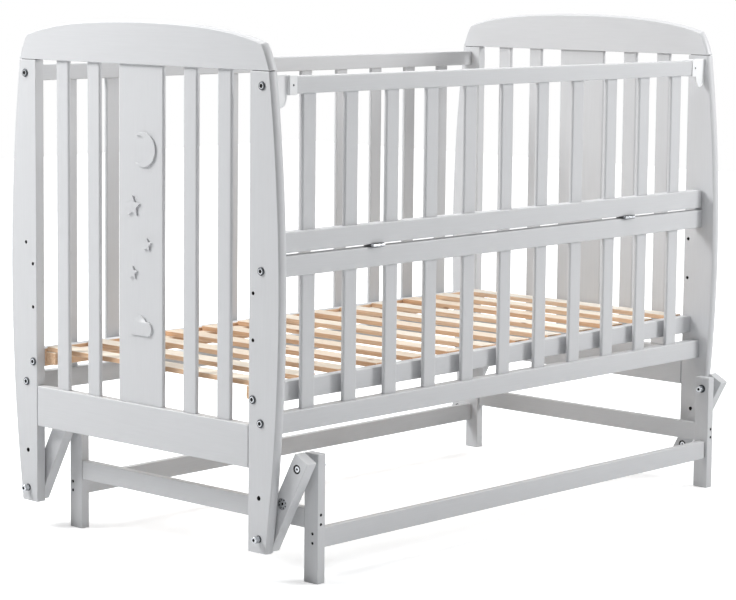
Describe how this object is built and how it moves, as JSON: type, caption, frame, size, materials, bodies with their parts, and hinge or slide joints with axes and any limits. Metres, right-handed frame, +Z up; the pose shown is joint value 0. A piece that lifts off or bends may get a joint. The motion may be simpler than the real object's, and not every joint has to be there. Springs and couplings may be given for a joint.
{
  "type": "pendulum crib",
  "caption": "Slatted child's crib with a fold-down front gate and a slatted bed base, hung by short swing arms above a low floor frame.",
  "frame": {"origin": "on the floor, below the middle of the whole box, with the crib swung back as in the picture", "axes": "+X along the crib, away from the end with the raised shapes; +Y from the gate side to the back; +Z up"},
  "size_m": [1.2668, 0.7252, 0.9191],
  "materials": {
    "grey_lacquer": "satin grey lacquer on beech",
    "pine": "planed bare pine",
    "white_plastic": "moulded white, satin",
    "zinc_steel": "bright zinc plate"
  },
  "bodies": {
    "swing_frame": {"frame_long_rail_front": "grey_lacquer", "frame_long_rail_back": "grey_lacquer", "frame_end_rail_near": "grey_lacquer", "post_near_front": "grey_lacquer", "upper_pivot_near_front": "zinc_steel", "post_near_back": "grey_lacquer", "upper_pivot_near_back": "zinc_steel", "frame_end_rail_far": "grey_lacquer", "post_far_front": "grey_lacquer", "upper_pivot_far_front": "zinc_steel", "post_far_back": "grey_lacquer", "upper_pivot_far_back": "zinc_steel"},
    "arm_near_front": {"arm_near_front": "grey_lacquer"},
    "arm_near_back": {"arm_near_back": "grey_lacquer"},
    "arm_far_front": {"arm_far_front": "grey_lacquer"},
    "arm_far_back": {"arm_far_back": "grey_lacquer"},
    "crib": {"lower_pivot_near_front": "zinc_steel", "near_leg_front": "grey_lacquer", "near_end_slat_front_inner": "grey_lacquer", "near_end_slat_front_outer": "grey_lacquer", "lower_pivot_near_back": "zinc_steel", "near_leg_back": "grey_lacquer", "near_end_slat_back_inner": "grey_lacquer", "near_end_slat_back_outer": "grey_lacquer", "near_end_cap": "grey_lacquer", "near_end_rail": "grey_lacquer", "near_end_panel": "grey_lacquer", "latch_keeper_near": "white_plastic", "hinge_fixed_leaf_near": "zinc_steel", "lower_pivot_far_front": "zinc_steel", "far_leg_front": "grey_lacquer", "far_end_slat_front_inner": "grey_lacquer", "far_end_slat_front_outer": "grey_lacquer", "lower_pivot_far_back": "zinc_steel", "far_leg_back": "grey_lacquer", "far_end_slat_back_inner": "grey_lacquer", "far_end_slat_back_outer": "grey_lacquer", "far_end_cap": "grey_lacquer", "far_end_rail": "grey_lacquer", "far_end_panel": "grey_lacquer", "latch_keeper_far": "white_plastic", "hinge_fixed_leaf_far": "zinc_steel", "motif_moon": "grey_lacquer", "motif_star_1": "grey_lacquer", "motif_star_2": "grey_lacquer", "motif_star_3": "grey_lacquer", "motif_cloud": "grey_lacquer", "back_slats_and_bottom_rail": "grey_lacquer", "back_top_rail": "grey_lacquer", "lower_front_slats_and_bottom_rail": "grey_lacquer", "lower_front_top_rail": "grey_lacquer", "bed_rail_front": "grey_lacquer", "bed_rail_back": "grey_lacquer", "bed_slats_and_battens": "pine"},
    "gate": {"hinge_gate_leaf_near": "zinc_steel", "latch_cap_near": "white_plastic", "hinge_gate_leaf_far": "zinc_steel", "latch_cap_far": "white_plastic", "gate_slats_and_bottom_rail": "grey_lacquer", "gate_top_rail": "grey_lacquer"}
  },
  "joints": [
    {"name": "swing", "type": "hinge", "parent": "swing_frame", "child": "arm_near_front", "pos_m": [-0.588, -0.33916, 0.1968], "axis": [1, 0, 0], "range_deg": [-57.8, 2.2]},
    {"name": "level", "type": "hinge", "parent": "arm_near_front", "child": "crib", "pos_m": [-0.588, -0.27387, 0.07296], "axis": [1, 0, 0], "range_deg": [-2.2, 57.8]},
    {"name": "arm_near_back_swing", "type": "hinge", "parent": "swing_frame", "child": "arm_near_back", "pos_m": [-0.588, 0.25084, 0.1968], "axis": [1, 0, 0], "range_deg": [-57.8, 2.2]},
    {"name": "arm_far_front_swing", "type": "hinge", "parent": "swing_frame", "child": "arm_far_front", "pos_m": [0.588, -0.33916, 0.1968], "axis": [1, 0, 0], "range_deg": [-57.8, 2.2]},
    {"name": "arm_far_back_swing", "type": "hinge", "parent": "swing_frame", "child": "arm_far_back", "pos_m": [0.588, 0.25084, 0.1968], "axis": [1, 0, 0], "range_deg": [-57.8, 2.2]},
    {"name": "gate_fold", "type": "hinge", "parent": "crib", "child": "gate", "pos_m": [0, -0.29447, 0.54551], "axis": [1, 0, 0], "range_deg": [0, 180]}
  ],
  "couplings": [
    {"joint": "level", "follows": "swing", "ratio": -1},
    {"joint": "arm_near_back_swing", "follows": "swing", "ratio": 1},
    {"joint": "arm_far_front_swing", "follows": "swing", "ratio": 1},
    {"joint": "arm_far_back_swing", "follows": "swing", "ratio": 1}
  ]
}
